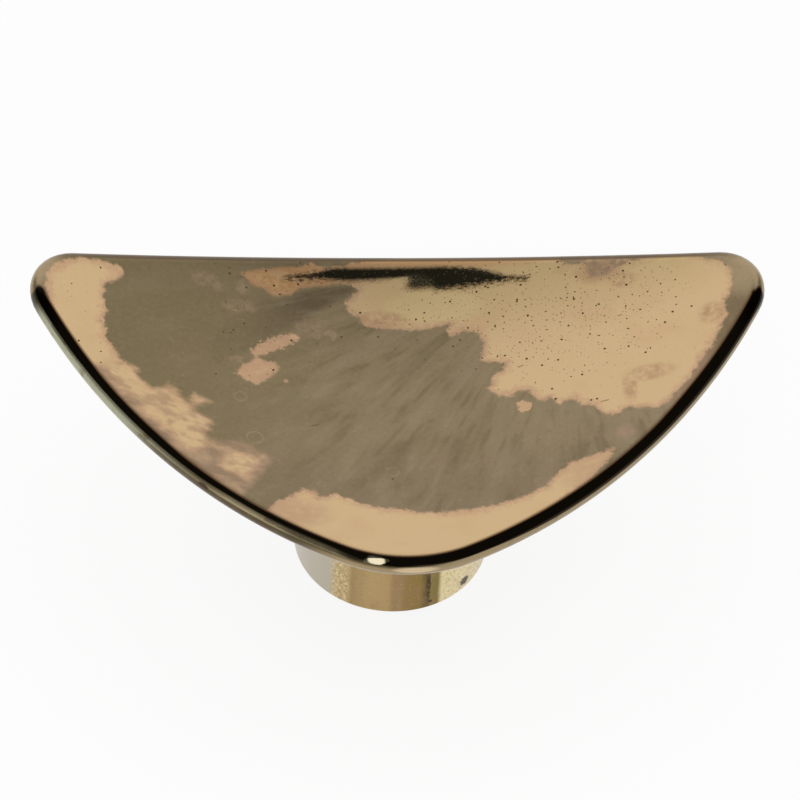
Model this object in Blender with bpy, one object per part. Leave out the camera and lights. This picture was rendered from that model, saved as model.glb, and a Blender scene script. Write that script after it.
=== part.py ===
"""A cast bronze cabinet knob: a dished, round-edged triangular plate on a round foot.

The knob is one casting. The origin is the middle of the foot's base, +Z points out of the
cabinet and +X runs along the plate's long back edge. The plate's outline is made of arcs
that run into each other without a kink: one long arc at the back, one at each front side,
and a small arc at each of the three corners. Lengths are in metres.
"""

import math

import bmesh
import bpy
from mathutils import Vector

# Plate outline, as seen from above and measured from the axis of the foot
HALF_WIDTH = 0.0300
BACK_REACH = 0.0135
FRONT_REACH = 0.0208
BACK_ARC_RADIUS = 0.1185
FRONT_ARC_RADIUS = 0.0600
SIDE_CORNER_RADIUS = 0.0042
FRONT_CORNER_RADIUS = 0.0109

# Plate section: the middle of its thickness lies on a shallow bowl
PLATE_THICKNESS = 0.0020
PLATE_HEIGHT = 0.0188
DISH_RADIUS = 0.0784

# Foot
FOOT_RADIUS = 0.0081
FOOT_FILLET = 0.0025
FOOT_EDGE_CHAMFER = 0.0003

# Tapped hole for the screw that comes through the cabinet door, at its core size
BORE_RADIUS = 0.00175
BORE_DEPTH = 0.0120
BORE_MOUTH_CHAMFER = 0.0005
DRILL_POINT_ANGLE = math.radians(118)

# How finely the surfaces are divided
FRONT_CORNER_STEPS = 6
FRONT_SIDE_STEPS = 13
SIDE_CORNER_STEPS = 5
BACK_STEPS = 13
EDGE_STEPS = 10
DISH_STEPS = 7
UNDERSIDE_STEPS = 4
FILLET_STEPS = 4

# Finish
BRONZE_COLOUR = (0.42, 0.31, 0.17, 1.0)
BRONZE_ROUGHNESS = 0.22

EDGE_RADIUS = PLATE_THICKNESS / 2


def clear_scene():
    for thing in list(bpy.data.objects):
        bpy.data.objects.remove(thing, do_unlink=True)


def angle_to(centre, point):
    return math.atan2(point.y - centre.y, point.x - centre.x)


def arc_centres():
    """Centres of the four arcs of the right half: back, side corner, front side, front corner."""
    back = Vector((0, BACK_REACH - BACK_ARC_RADIUS))
    corner_x = HALF_WIDTH - SIDE_CORNER_RADIUS
    back_to_corner = BACK_ARC_RADIUS - SIDE_CORNER_RADIUS
    corner = Vector((corner_x, back.y + math.sqrt(back_to_corner**2 - corner_x**2)))
    front_corner = Vector((0, FRONT_CORNER_RADIUS - FRONT_REACH))
    # The front side's arc touches both of its corners from inside
    to_corner = FRONT_ARC_RADIUS - SIDE_CORNER_RADIUS
    to_front = FRONT_ARC_RADIUS - FRONT_CORNER_RADIUS
    between = front_corner - corner
    span = between.length
    along = (to_corner**2 - to_front**2 + span**2) / (2 * span)
    aside = math.sqrt(to_corner**2 - along**2)
    direction = between / span
    side = corner + direction * along + Vector((direction.y, -direction.x)) * aside
    return back, corner, side, front_corner


def on_ray(centre, radius, bearing):
    """The point where a ray from the foot's axis leaves the circle, and the circle's normal."""
    ray = Vector((math.cos(bearing), math.sin(bearing)))
    near = ray.dot(centre)
    point = ray * (near + math.sqrt(near**2 - centre.length_squared + radius**2))
    return point, (point - centre).normalized()


def on_arc(centre, radius, angle):
    normal = Vector((math.cos(angle), math.sin(angle)))
    return centre + normal * radius, normal


def spread(first, last, steps):
    return [first + (last - first) * step / steps for step in range(steps)]


def half_outline():
    """Points and normals from the front corner's tip round to the middle of the back."""
    back, corner, side, front = arc_centres()
    inset = EDGE_RADIUS
    meets_front = angle_to(side, front)
    meets_side = angle_to(side, corner)
    meets_back = angle_to(back, corner)
    half = []
    for angle in spread(-math.pi / 2, meets_front, FRONT_CORNER_STEPS):
        half.append(on_arc(front, FRONT_CORNER_RADIUS - inset, angle))
    start = on_arc(side, FRONT_ARC_RADIUS - inset, meets_front)[0]
    end = on_arc(side, FRONT_ARC_RADIUS - inset, meets_side)[0]
    bearings = math.atan2(start.y, start.x), math.atan2(end.y, end.x)
    for bearing in spread(*bearings, FRONT_SIDE_STEPS):
        half.append(on_ray(side, FRONT_ARC_RADIUS - inset, bearing))
    for first, last in ((meets_side, 0.0), (0.0, meets_back)):
        for angle in spread(first, last, SIDE_CORNER_STEPS):
            half.append(on_arc(corner, SIDE_CORNER_RADIUS - inset, angle))
    start = on_arc(back, BACK_ARC_RADIUS - inset, meets_back)[0]
    for bearing in spread(math.atan2(start.y, start.x), math.pi / 2, BACK_STEPS):
        half.append(on_ray(back, BACK_ARC_RADIUS - inset, bearing))
    half.append(on_arc(back, BACK_ARC_RADIUS - inset, math.pi / 2))
    return half


def whole_outline():
    """The right half and its mirror image, anticlockwise from the front corner's tip."""
    half = half_outline()
    flip = Vector((-1, 1))
    mirrored = [(point * flip, normal * flip) for point, normal in half[1:-1]]
    return half + mirrored[::-1]


def dish(point):
    """Place and normal of the plate's middle surface over a point of the plan."""
    height = PLATE_HEIGHT + point.length_squared / (2 * DISH_RADIUS)
    normal = Vector((-point.x / DISH_RADIUS, -point.y / DISH_RADIUS, 1)).normalized()
    return Vector((point.x, point.y, height)), normal


def top_rings(outline):
    """Rings of the dished top, from near the middle out to the start of the round edge."""
    rings = []
    for step in range(1, DISH_STEPS):
        share = step / DISH_STEPS
        ring = []
        for point, _ in outline:
            place, normal = dish(point * share)
            ring.append(place + normal * EDGE_RADIUS)
        rings.append(ring)
    return rings


def edge_rings(outline):
    """Rings of the full-round edge, from the dished top over to the underside."""
    rings = []
    for step in range(EDGE_STEPS + 1):
        turn = math.pi * step / EDGE_STEPS
        ring = []
        for point, normal in outline:
            place, up = dish(point)
            tangent = Vector((-normal.y, normal.x))
            climb = tangent.dot(point) / DISH_RADIUS
            along = Vector((tangent.x, tangent.y, climb)).normalized()
            outward = along.cross(up)
            ring.append(place + (outward * math.sin(turn) + up * math.cos(turn)) * EDGE_RADIUS)
        rings.append(ring)
    return rings


def fillet_start():
    """Radius of the fillet under the plate, its slope and its plan radius where it begins."""
    room = BACK_REACH - EDGE_RADIUS - FOOT_RADIUS
    fillet = min(FOOT_FILLET, 0.8 * room)
    slope = math.atan((FOOT_RADIUS + fillet) / DISH_RADIUS)
    return fillet, slope, FOOT_RADIUS + fillet * (1 - math.sin(slope))


def underside_rings(outline):
    """Rings under the plate, from the round edge in to where the fillet begins."""
    _, slope, reach = fillet_start()
    middle_reach = reach - EDGE_RADIUS * math.sin(slope)
    rings = []
    for step in range(1, UNDERSIDE_STEPS + 1):
        share = step / UNDERSIDE_STEPS
        ring = []
        for point, _ in outline:
            inner = point.normalized() * middle_reach
            place, normal = dish(point.lerp(inner, share))
            ring.append(place - normal * EDGE_RADIUS)
        rings.append(ring)
    return rings


def foot_profile():
    """Radius and height of each ring from the fillet down the foot and up into the bore."""
    fillet, slope, reach = fillet_start()
    middle_reach = reach - EDGE_RADIUS * math.sin(slope)
    under = dish(Vector((middle_reach, 0)))[0].z - EDGE_RADIUS * math.cos(slope)
    centre_height = under - fillet * math.cos(slope)
    profile = []
    for step in range(1, FILLET_STEPS + 1):
        angle = slope + (math.pi / 2 - slope) * step / FILLET_STEPS
        radius = FOOT_RADIUS + fillet * (1 - math.sin(angle))
        profile.append((radius, centre_height + fillet * math.cos(angle)))
    profile.append((FOOT_RADIUS, FOOT_EDGE_CHAMFER))
    profile.append((FOOT_RADIUS - FOOT_EDGE_CHAMFER, 0))
    profile.append((BORE_RADIUS + BORE_MOUTH_CHAMFER, 0))
    profile.append((BORE_RADIUS, BORE_MOUTH_CHAMFER))
    profile.append((BORE_RADIUS, BORE_DEPTH))
    return profile


def foot_rings(outline):
    """Round rings whose points stand on the same rays as the outline's points."""
    rings = []
    for radius, height in foot_profile():
        ring = []
        for point, _ in outline:
            ray = point.normalized()
            ring.append(Vector((ray.x * radius, ray.y * radius, height)))
        rings.append(ring)
    return rings


def close_to_point(shell, ring, point):
    tip = shell.verts.new(point)
    for here, after in zip(ring, ring[1:] + ring[:1]):
        shell.faces.new((tip, here, after))


def knob_mesh():
    outline = whole_outline()
    rings = top_rings(outline) + edge_rings(outline)
    rings += underside_rings(outline) + foot_rings(outline)
    shell = bmesh.new()
    loops = [[shell.verts.new(point) for point in ring] for ring in rings]
    for inner, outer in zip(loops, loops[1:]):
        for spot in range(len(inner)):
            after = (spot + 1) % len(inner)
            shell.faces.new((inner[spot], outer[spot], outer[after], inner[after]))
    place, normal = dish(Vector((0, 0)))
    close_to_point(shell, loops[0], place + normal * EDGE_RADIUS)
    drill_tip = BORE_DEPTH + BORE_RADIUS / math.tan(DRILL_POINT_ANGLE / 2)
    close_to_point(shell, loops[-1][::-1], Vector((0, 0, drill_tip)))
    mesh = bpy.data.meshes.new("knob")
    shell.to_mesh(mesh)
    shell.free()
    mesh.shade_smooth()
    mesh.set_sharp_from_angle(angle=math.radians(35))
    return mesh


def bronze():
    material = bpy.data.materials.new("bronze")
    material.use_nodes = True
    surface = material.node_tree.nodes["Principled BSDF"]
    surface.inputs["Base Color"].default_value = BRONZE_COLOUR
    surface.inputs["Metallic"].default_value = 1.0
    surface.inputs["Roughness"].default_value = BRONZE_ROUGHNESS
    return material


def make_knob():
    knob = bpy.data.objects.new("knob", knob_mesh())
    knob.data.materials.append(bronze())
    bpy.context.scene.collection.objects.link(knob)
    return knob


clear_scene()
make_knob()
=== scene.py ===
"""Looks of the cast bronze cabinet knob: its surface, patina, camera, lights and floor."""
import math

import bpy
import numpy as np
from mathutils import Matrix, Vector


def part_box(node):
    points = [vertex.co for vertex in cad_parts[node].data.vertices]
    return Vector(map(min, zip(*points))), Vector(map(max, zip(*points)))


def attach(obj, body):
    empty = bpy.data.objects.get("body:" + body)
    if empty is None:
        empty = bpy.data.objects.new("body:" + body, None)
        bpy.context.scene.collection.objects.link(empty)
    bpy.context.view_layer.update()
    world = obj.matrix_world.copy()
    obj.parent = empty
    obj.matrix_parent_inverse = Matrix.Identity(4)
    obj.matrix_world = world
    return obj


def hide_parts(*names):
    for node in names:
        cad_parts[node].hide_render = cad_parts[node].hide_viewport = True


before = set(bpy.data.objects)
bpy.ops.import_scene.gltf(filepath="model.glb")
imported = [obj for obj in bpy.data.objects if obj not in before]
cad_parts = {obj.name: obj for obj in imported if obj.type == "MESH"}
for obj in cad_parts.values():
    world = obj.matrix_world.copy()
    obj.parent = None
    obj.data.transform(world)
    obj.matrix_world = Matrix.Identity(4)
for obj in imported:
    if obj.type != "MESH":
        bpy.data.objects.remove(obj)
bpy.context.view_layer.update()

# Sizes of the casting, in metres, with the outer ones taken from the frame
LOW, HIGH = (Vector(corner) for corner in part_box("knob"))
HALF_WIDTH = HIGH.x
BACK_REACH = HIGH.y
FRONT_REACH = -LOW.y
BACK_ARC_RADIUS = 0.1185
FRONT_ARC_RADIUS = 0.0600
SIDE_CORNER_RADIUS = 0.0042
FRONT_CORNER_RADIUS = 0.0109
PLATE_THICKNESS = 0.0020
EDGE_RADIUS = PLATE_THICKNESS / 2
PLATE_HEIGHT = 0.0188
DISH_RADIUS = 0.0784
FOOT_RADIUS = 0.0081
FOOT_FILLET = 0.0025
FOOT_EDGE_CHAMFER = 0.0003
BORE_RADIUS = 0.00175
BORE_DEPTH = 0.0120
BORE_MOUTH_CHAMFER = 0.0005
DRILL_POINT_ANGLE = math.radians(118)
THREAD_PITCH = 0.0007
THREAD_DEPTH = 0.00035

# The photograph's camera: its elevation, its turn to the left, its roll and its distance
IMAGE_SIZE = 800
CAMERA_ELEVATION = math.radians(49.5)
CAMERA_TURN = math.radians(4.4)
CAMERA_ROLL = math.radians(3.2)
CAMERA_DISTANCE = 0.510
PIXELS_PER_METRE = 12197
CAMERA_AIM = Vector((0, 0, 0.0157))
AIM_PIXEL = (397.1, 417.1)
SENSOR_WIDTH = 0.036
FACE_SEARCH_STEPS = 20


class Camera:
    """The photograph's camera: its axes and place, and the ray through any of its pixels."""

    def __init__(self):
        turn = Matrix.Rotation(-CAMERA_TURN, 3, "Z")
        self.toward_viewer = turn @ Vector((0, -1, 0))
        right = turn @ Vector((1, 0, 0))
        flat = math.cos(CAMERA_ELEVATION)
        self.back = Vector((self.toward_viewer.x * flat, self.toward_viewer.y * flat,
                            math.sin(CAMERA_ELEVATION)))
        up = self.back.cross(right)
        roll = math.cos(CAMERA_ROLL), math.sin(CAMERA_ROLL)
        self.right = right * roll[0] + up * roll[1]
        self.up = up * roll[0] - right * roll[1]
        aside = (IMAGE_SIZE / 2 - AIM_PIXEL[0]) / PIXELS_PER_METRE
        above = (AIM_PIXEL[1] - IMAGE_SIZE / 2) / PIXELS_PER_METRE
        centre = CAMERA_AIM + self.right * aside + self.up * above
        self.place = centre + self.back * CAMERA_DISTANCE

    def ray(self, pixel):
        aside = (pixel[0] - IMAGE_SIZE / 2) / PIXELS_PER_METRE
        above = (IMAGE_SIZE / 2 - pixel[1]) / PIXELS_PER_METRE
        return (self.right * aside + self.up * above - self.back * CAMERA_DISTANCE).normalized()

    def on_face(self, pixel):
        """Where the ray through a pixel meets the dished face, in the plan."""
        ray = self.ray(pixel)
        height = PLATE_HEIGHT + EDGE_RADIUS
        for _ in range(FACE_SEARCH_STEPS):
            point = self.place + ray * ((height - self.place.z) / ray.z)
            reach = point.x**2 + point.y**2
            height = PLATE_HEIGHT + EDGE_RADIUS + reach / (2 * DISH_RADIUS)
        return Vector((point.x, point.y))


CAMERA = Camera()


class Value:
    """A socket of a node tree, with Python's arithmetic on it."""

    def __init__(self, tree, socket):
        self.tree = tree
        self.socket = socket

    def maths(self, operation, *others):
        return self.tree.make("ShaderNodeMath", {"operation": operation}, 0, self, *others)

    def __add__(self, other):
        return self.maths("ADD", other)

    def __sub__(self, other):
        return self.maths("SUBTRACT", other)

    def __mul__(self, other):
        return self.maths("MULTIPLY", other)

    def __truediv__(self, other):
        return self.maths("DIVIDE", other)

    def __radd__(self, other):
        return self.tree.number(other) + self

    def __rsub__(self, other):
        return self.tree.number(other) - self

    def __rmul__(self, other):
        return self.tree.number(other) * self

    def __rtruediv__(self, other):
        return self.tree.number(other) / self

    def __pow__(self, other):
        return self.maths("POWER", other)

    def __neg__(self):
        return self * -1

    def cos(self):
        return self.maths("COSINE")

    def sin(self):
        return self.maths("SINE")

    def absolute(self):
        return self.maths("ABSOLUTE")

    def least(self, other):
        return self.maths("MINIMUM", other)

    def most(self, other):
        return self.maths("MAXIMUM", other)

    def over(self, start, end):
        """0 up to start, 1 from end on, and smooth between them; start may be above end."""
        settings = {"interpolation_type": "SMOOTHSTEP"}
        return self.tree.make("ShaderNodeMapRange", settings, 0, self, start, end, 0.0, 1.0)


class Arrow(Value):
    """A vector socket, with Python's arithmetic on it."""

    def vector_maths(self, operation, *others, scale=None):
        return self.tree.make_vector("ShaderNodeVectorMath", {"operation": operation}, 0,
                                     self, *others, Scale=scale)

    def __add__(self, other):
        return self.vector_maths("ADD", other)

    def __sub__(self, other):
        return self.vector_maths("SUBTRACT", other)

    def __mul__(self, other):
        return self.vector_maths("SCALE", scale=other)

    def times(self, other):
        return self.vector_maths("MULTIPLY", other)

    def cross(self, other):
        return self.vector_maths("CROSS_PRODUCT", other)

    def normal(self):
        return self.vector_maths("NORMALIZE")

    def dot(self, other):
        node = self.tree.node("ShaderNodeVectorMath", {"operation": "DOT_PRODUCT"}, self, other)
        return Value(self.tree, node.outputs["Value"])

    def distance(self, other):
        node = self.tree.node("ShaderNodeVectorMath", {"operation": "DISTANCE"}, self, other)
        return Value(self.tree, node.outputs["Value"])

    def parts(self):
        node = self.tree.node("ShaderNodeSeparateXYZ", {}, self)
        return [Value(self.tree, socket) for socket in node.outputs]


class Tree:
    """Makes nodes in a node tree from their type, settings and inputs."""

    def __init__(self, nodes):
        self.nodes = nodes.nodes
        self.links = nodes.links

    def node(self, kind, settings, *inputs, **named):
        """A new node. Settings come first, then inputs in order or by socket name.

        stops sets a colour ramp's stops, and an input of None is left as it is.
        """
        node = self.nodes.new(kind)
        for name, value in settings.items():
            if name == "stops":
                self.set_stops(node.color_ramp, value)
            else:
                setattr(node, name, value)
        for spot, value in list(enumerate(inputs)) + list(named.items()):
            if value is None:
                continue
            socket = self.open_socket(node, spot)
            if isinstance(value, Value):
                self.links.new(value.socket, socket)
            elif isinstance(value, bpy.types.NodeSocket):
                self.links.new(value, socket)
            else:
                socket.default_value = value
        return node

    def open_socket(self, node, spot):
        shown = [socket for socket in node.inputs if socket.enabled]
        if isinstance(spot, int):
            return shown[spot]
        return next(socket for socket in shown if socket.name == spot)

    def set_stops(self, ramp, stops):
        for spot, (place, shade) in enumerate(stops):
            stop = ramp.elements[spot] if spot < 2 else ramp.elements.new(place)
            stop.position = place
            stop.color = shade

    def make(self, kind, settings, output, *inputs, **named):
        node = self.node(kind, settings, *inputs, **named)
        if isinstance(output, str):
            return Value(self, node.outputs[output])
        shown = [socket for socket in node.outputs if socket.enabled]
        return Value(self, shown[output])

    def make_vector(self, kind, settings, output, *inputs, **named):
        return Arrow(self, self.make(kind, settings, output, *inputs, **named).socket)

    def number(self, value):
        node = self.node("ShaderNodeValue", {})
        node.outputs[0].default_value = value
        return Value(self, node.outputs[0])

    def vector(self, x, y, z):
        return self.make_vector("ShaderNodeCombineXYZ", {}, 0, x, y, z)


# The outline of the plate

def angle_to(centre, point):
    return math.atan2(point.y - centre.y, point.x - centre.x)


def arc_centres():
    """Centres of the right half's arcs: back, side corner, front side and front corner."""
    back = Vector((0, BACK_REACH - BACK_ARC_RADIUS))
    corner_x = HALF_WIDTH - SIDE_CORNER_RADIUS
    back_to_corner = BACK_ARC_RADIUS - SIDE_CORNER_RADIUS
    corner = Vector((corner_x, back.y + math.sqrt(back_to_corner**2 - corner_x**2)))
    front_corner = Vector((0, FRONT_CORNER_RADIUS - FRONT_REACH))
    to_corner = FRONT_ARC_RADIUS - SIDE_CORNER_RADIUS
    to_front = FRONT_ARC_RADIUS - FRONT_CORNER_RADIUS
    between = front_corner - corner
    span = between.length
    along = (to_corner**2 - to_front**2 + span**2) / (2 * span)
    aside = math.sqrt(to_corner**2 - along**2)
    direction = between / span
    side = corner + direction * along + Vector((direction.y, -direction.x)) * aside
    return back, corner, side, front_corner


ARC_POINT_SPACING = 0.0001


def arc(centre, radius, first, last):
    steps = max(2, round(radius * abs(last - first) / ARC_POINT_SPACING))
    for step in range(steps):
        angle = first + (last - first) * step / steps
        yield centre.x + radius * math.cos(angle), centre.y + radius * math.sin(angle), 0.0


def edge_middle_line():
    """Points along the middle of the round edge, once round, seen from above."""
    back, corner, side, front = arc_centres()
    inset = EDGE_RADIUS
    meets_front = angle_to(side, front)
    meets_side = angle_to(side, corner)
    meets_back = angle_to(back, corner)
    half = list(arc(front, FRONT_CORNER_RADIUS - inset, -math.pi / 2, meets_front))
    half += arc(side, FRONT_ARC_RADIUS - inset, meets_front, meets_side)
    half += arc(corner, SIDE_CORNER_RADIUS - inset, meets_side, meets_back)
    half += arc(back, BACK_ARC_RADIUS - inset, meets_back, math.pi / 2)
    half.append((0.0, BACK_REACH - inset, 0.0))
    return half + [(-x, y, z) for x, y, z in half[1:-1]][::-1]


# The casting, lofted along that line

STATIONS = 288
FACE_RINGS = 96
EDGE_RINGS = 22
UNDERSIDE_RINGS = 10
FILLET_RINGS = 8
FOOT_RINGS = 6
CHAMFER_RINGS = 2
BASE_RINGS = 4
BORE_RINGS = 130
DRILL_POINT_RINGS = 3
WELD_DISTANCE = 1e-6
SHARP_ANGLE = math.radians(35)
# Shares of the bore over which the thread deepens from the mouth and fades out at the end
THREAD_LEAD_IN = (0.0, 0.04)
THREAD_RUN_OUT = (0.97, 0.86)


class Loft(Tree):
    """The node tree that sweeps the casting's section round the edge's middle line."""

    def __init__(self, group):
        super().__init__(group)
        self.interface = group.interface
        self.parts_made = []

    def start(self, sizes):
        """Gives the tree its inputs: the edge's middle line and the named sizes."""
        self.interface.new_socket(name="Edge middle line", in_out="INPUT",
                                  socket_type="NodeSocketGeometry")
        for name, value in sizes.items():
            socket = self.interface.new_socket(name=name, in_out="INPUT",
                                               socket_type="NodeSocketFloat")
            socket.default_value = value
        entry = self.node("NodeGroupInput", {})
        self.size = {name: Value(self, entry.outputs[name]) for name in sizes}
        self.curve = self.node("GeometryNodeMeshToCurve", {}, Mesh=entry.outputs[0])

    def sheet(self, rings, place, turns=(180.0, 180.0)):
        """A grid of stations by rings, laid where place(station, tangent, share) says.

        turns says how far the surface has turned over from the face, in degrees, at both ends.
        """
        grid = self.node("GeometryNodeMeshGrid", {}, 1.0, 1.0, STATIONS + 1, rings + 1)
        spot = self.make_vector("GeometryNodeInputPosition", {}, 0)
        x, y, _ = spot.parts()
        sampled = self.node("GeometryNodeSampleCurve", {"mode": "FACTOR"},
                            Curves=self.curve.outputs[0], Factor=x + 0.5)
        station = Arrow(self, sampled.outputs["Position"])
        tangent = Arrow(self, sampled.outputs["Tangent"])
        position = place(station, tangent, y + 0.5)
        kept = self.node("GeometryNodeStoreNamedAttribute", {"data_type": "FLOAT"},
                         Geometry=grid.outputs["Mesh"], Name="turn",
                         Value=(y + 0.5) * (turns[1] - turns[0]) + turns[0])
        moved = self.node("GeometryNodeSetPosition", {}, Geometry=kept.outputs[0],
                          Position=position)
        self.parts_made.append(moved.outputs[0])

    def dish(self, point):
        """Place and upward normal of the plate's middle surface over a point of the plan."""
        flat = point.times((1.0, 1.0, 0.0))
        rise = flat.dot(flat) / (self.size["Dish radius"] * 2)
        x, y, _ = flat.parts()
        place = self.vector(x, y, self.size["Plate height"] + rise)
        up = (self.vector(0.0, 0.0, self.size["Dish radius"]) - flat).normal()
        return place, up

    def finish(self, material):
        joined = self.node("GeometryNodeJoinGeometry", {})
        for part in reversed(self.parts_made):
            self.links.new(part, joined.inputs[0])
        welded = self.node("GeometryNodeMergeByDistance", {}, Geometry=joined.outputs[0],
                           Distance=WELD_DISTANCE)
        real = self.node("GeometryNodeRealizeInstances", {}, Geometry=welded.outputs[0])
        dressed = self.node("GeometryNodeSetMaterial", {}, Geometry=real.outputs[0],
                            Material=material)
        self.interface.new_socket(name="Casting", in_out="OUTPUT",
                                  socket_type="NodeSocketGeometry")
        self.node("NodeGroupOutput", {}, dressed.outputs[0])


def fillet_slope():
    """How steeply the plate's underside climbs where the foot's fillet meets it."""
    return math.atan((FOOT_RADIUS + FOOT_FILLET) / DISH_RADIUS)


FILLET_OUTER_RADIUS = FOOT_RADIUS + FOOT_FILLET * (1 - math.sin(fillet_slope()))
FILLET_MIDDLE_RADIUS = FILLET_OUTER_RADIUS - EDGE_RADIUS * math.sin(fillet_slope())
FILLET_TOP = (PLATE_HEIGHT + FILLET_MIDDLE_RADIUS**2 / (2 * DISH_RADIUS)
              - EDGE_RADIUS * math.cos(fillet_slope()))
FILLET_CENTRE_HEIGHT = FILLET_TOP - FOOT_FILLET * math.cos(fillet_slope())


CASTING_SIZES = {
    "Plate height": PLATE_HEIGHT,
    "Dish radius": DISH_RADIUS,
    "Edge radius": EDGE_RADIUS,
    "Foot radius": FOOT_RADIUS,
    "Foot fillet": FOOT_FILLET,
    "Bore radius": BORE_RADIUS,
    "Thread pitch": THREAD_PITCH,
    "Thread depth": THREAD_DEPTH,
}


def casting_tree(material):
    """The whole casting, sheet by sheet from the face round to the bore's end."""
    group = bpy.data.node_groups.new("casting", "GeometryNodeTree")
    loft = Loft(group)
    loft.start(CASTING_SIZES)
    size = loft.size

    def face(station, _, share):
        place, up = loft.dish(station * share)
        return place + up * size["Edge radius"]

    def edge(station, tangent, share):
        place, up = loft.dish(station)
        x, y, _ = tangent.parts()
        climb = station.dot(tangent) / size["Dish radius"]
        outward = loft.vector(x, y, climb).normal().cross(up)
        turn = share * math.pi
        return place + (outward * turn.sin() + up * turn.cos()) * size["Edge radius"]

    def underside(station, _, share):
        inner = station.normal() * FILLET_MIDDLE_RADIUS
        place, up = loft.dish(station + (inner - station) * share)
        return place - up * size["Edge radius"]

    def fillet(station, _, share):
        turn = share * (math.pi / 2 - fillet_slope()) + fillet_slope()
        radius = size["Foot radius"] + size["Foot fillet"] * (1 - turn.sin())
        x, y, _ = (station.normal() * radius).parts()
        return loft.vector(x, y, turn.cos() * size["Foot fillet"] + FILLET_CENTRE_HEIGHT)

    def cone(first, last):
        """A round stretch from (radius, height) to (radius, height)."""
        def place(station, _, share):
            radius = share * (last[0] - first[0]) + first[0]
            x, y, _ = (station.normal() * radius).parts()
            return loft.vector(x, y, share * (last[1] - first[1]) + first[1])
        return place

    def thread(station, _, share):
        height = share * (BORE_DEPTH - BORE_MOUTH_CHAMFER) + BORE_MOUTH_CHAMFER
        x, y, _ = station.parts()
        turn = y.maths("ARCTAN2", x) / (2 * math.pi)
        phase = (height / size["Thread pitch"] - turn).maths("FRACT")
        ridge = (phase * 2 - 1).absolute()
        fade = share.over(*THREAD_LEAD_IN) * share.over(*THREAD_RUN_OUT)
        radius = size["Bore radius"] + ridge * fade * size["Thread depth"]
        x, y, _ = (station.normal() * radius).parts()
        return loft.vector(x, y, height)

    drill_tip = BORE_DEPTH + BORE_RADIUS / math.tan(DRILL_POINT_ANGLE / 2)
    mouth = BORE_RADIUS + BORE_MOUTH_CHAMFER
    foot_edge = FOOT_RADIUS - FOOT_EDGE_CHAMFER
    loft.sheet(FACE_RINGS, face, turns=(0.0, 0.0))
    loft.sheet(EDGE_RINGS, edge, turns=(0.0, 180.0))
    loft.sheet(UNDERSIDE_RINGS, underside)
    loft.sheet(FILLET_RINGS, fillet)
    loft.sheet(FOOT_RINGS, cone((FOOT_RADIUS, FILLET_CENTRE_HEIGHT),
                                (FOOT_RADIUS, FOOT_EDGE_CHAMFER)))
    loft.sheet(CHAMFER_RINGS, cone((FOOT_RADIUS, FOOT_EDGE_CHAMFER), (foot_edge, 0.0)))
    loft.sheet(BASE_RINGS, cone((foot_edge, 0.0), (mouth, 0.0)))
    loft.sheet(CHAMFER_RINGS, cone((mouth, 0.0), (BORE_RADIUS, BORE_MOUTH_CHAMFER)))
    loft.sheet(BORE_RINGS, thread)
    loft.sheet(DRILL_POINT_RINGS, cone((BORE_RADIUS, BORE_DEPTH), (0.0, drill_tip)))
    loft.finish(material)
    return group


def cast_knob(material):
    """The knob as one closed mesh, at the origin."""
    points = edge_middle_line()
    line = bpy.data.meshes.new("edge_middle_line")
    edges = [(spot, (spot + 1) % len(points)) for spot in range(len(points))]
    line.from_pydata(points, edges, [])
    guide = bpy.data.objects.new("edge_middle_line", line)
    bpy.context.scene.collection.objects.link(guide)
    modifier = guide.modifiers.new("casting", "NODES")
    modifier.node_group = casting_tree(material)
    for item in modifier.node_group.interface.items_tree:
        if item.in_out == "INPUT" and item.name in CASTING_SIZES:
            modifier[item.identifier] = CASTING_SIZES[item.name]
    graph = bpy.context.evaluated_depsgraph_get()
    mesh = bpy.data.meshes.new_from_object(guide.evaluated_get(graph))
    bpy.data.objects.remove(guide, do_unlink=True)
    mesh.name = "cast_knob"
    mesh.shade_smooth()
    mesh.set_sharp_from_angle(angle=SHARP_ANGLE)
    knob = bpy.data.objects.new("cast_knob", mesh)
    bpy.context.scene.collection.objects.link(knob)
    return knob


# The patina, with painted shade and a painted dark reflection, drawn on the face from the
# photograph's pixels

LEFT_PATCH = [
    (45, 284), (46, 273), (55, 265.5), (66, 260), (82, 257.5), (99.5, 261), (115, 265.5),
    (124, 269), (123.5, 276), (115, 280), (106, 283), (103, 294), (104.6, 304), (108, 311),
    (103, 320), (108, 331), (106, 336), (113.5, 347), (121, 361), (135, 369), (143, 381),
    (153, 387), (168, 384), (173.5, 387), (178.5, 395), (186, 400), (196, 397), (206, 400),
    (199, 407), (197, 413), (206, 417), (211, 420), (208, 429), (206.5, 434), (217, 441),
    (221, 447), (215, 449), (203, 449), (190, 447), (176, 440), (164, 430), (152, 419),
    (140, 408), (128, 397), (116, 385), (104, 373), (84, 361), (54, 330)]
LOW_PATCH = [
    (219, 459), (228, 455.5), (243, 454.5), (254, 457), (263, 456.5), (259, 462), (253, 470),
    (245, 476), (236, 474), (227, 473), (220, 468)]
FRONT_PATCH = [
    (270, 507), (279, 500.6), (294, 494), (305, 489), (316, 491), (318, 497), (326, 496),
    (338, 493), (345, 498), (354, 501), (365.5, 505), (383, 508), (405, 509), (421, 513),
    (445, 512), (473, 509), (495, 505), (513, 500), (530, 494), (539.5, 488), (548, 486),
    (549.5, 480), (559, 473), (571, 463), (583, 458), (599, 453), (613, 448), (613, 454),
    (606, 462), (589, 480), (560, 505), (520, 530), (480, 548), (440, 560), (400, 564),
    (350, 554), (300, 536), (265, 515)]
SMALL_PATCH = [
    (251, 348.5), (261.5, 342.5), (273, 337.5), (285, 334), (296.5, 334.5), (299.5, 337.5),
    (292, 344), (280.5, 349), (268.5, 354), (260, 356), (264.5, 362), (274.5, 362), (279, 367.5),
    (274.5, 373.5), (266, 379.5), (260, 384.5), (251, 383), (242, 378), (233.5, 373.5),
    (241, 367.5), (248, 363), (255.5, 357.5)]
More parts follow.
